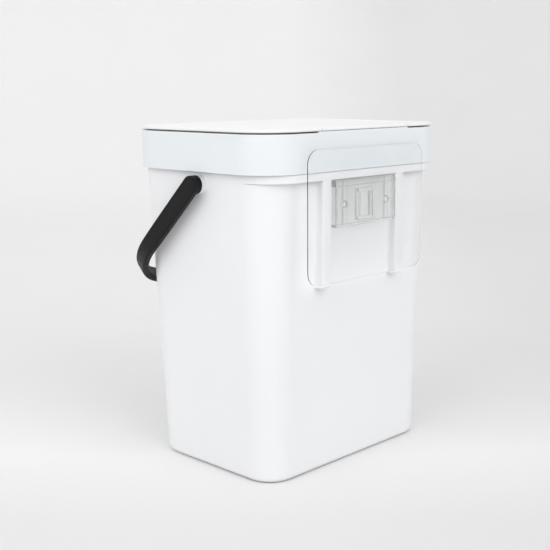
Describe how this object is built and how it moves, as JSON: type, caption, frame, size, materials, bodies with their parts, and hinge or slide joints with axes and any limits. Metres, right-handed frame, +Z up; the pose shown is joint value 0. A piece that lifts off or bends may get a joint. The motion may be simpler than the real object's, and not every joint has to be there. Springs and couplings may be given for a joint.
{
  "type": "lidded waste caddy with wall bracket",
  "caption": "Tapered white kitchen waste caddy with a hinged lid, a lid frame, a black bail handle and a clear wall bracket on an adhesive plate.",
  "frame": {"origin": "on the underside of the bucket, midway between the sides and between the front and back of the lid frame", "axes": "+Z up, +Y towards the back, where the hinge and the bracket are, +X towards the bin's left side as seen from its front"},
  "size_m": [0.2648, 0.204, 0.3156],
  "materials": {
    "bucket_white": "fine satin, moulded polypropylene",
    "frame_white": "satin, slightly cooler white",
    "lid_white": "satin",
    "pin_steel": "drawn wire",
    "handle_black": "satin",
    "bracket_clear": "clear moulded plastic",
    "pad_clear": "clear soft adhesive",
    "plate_clear": "thin clear sheet"
  },
  "bodies": {
    "bin": {"bucket": "bucket_white", "lid_frame": "frame_white", "hinge_pin_left": "pin_steel", "hinge_pin_right": "pin_steel"},
    "lid": {"lid": "lid_white"},
    "bail": {"handle": "handle_black"},
    "hanger": {"wall_bracket": "bracket_clear", "bracket_pad": "pad_clear", "adhesive_plate": "plate_clear"}
  },
  "joints": [
    {"name": "lid_hinge", "type": "hinge", "parent": "bin", "child": "lid", "pos_m": [0, 0.0938, 0.3144], "axis": [-1, 0, 0], "range_deg": [0, 105]},
    {"name": "handle_swing", "type": "hinge", "parent": "bin", "child": "bail", "pos_m": [0, 0.0044, 0.2663], "axis": [-1, 0, 0], "range_deg": [0, 260]},
    {"name": "bracket_slide", "type": "slide", "parent": "bin", "child": "hanger", "axis": [0, 0, -1], "range_m": [0, 0.045]}
  ]
}
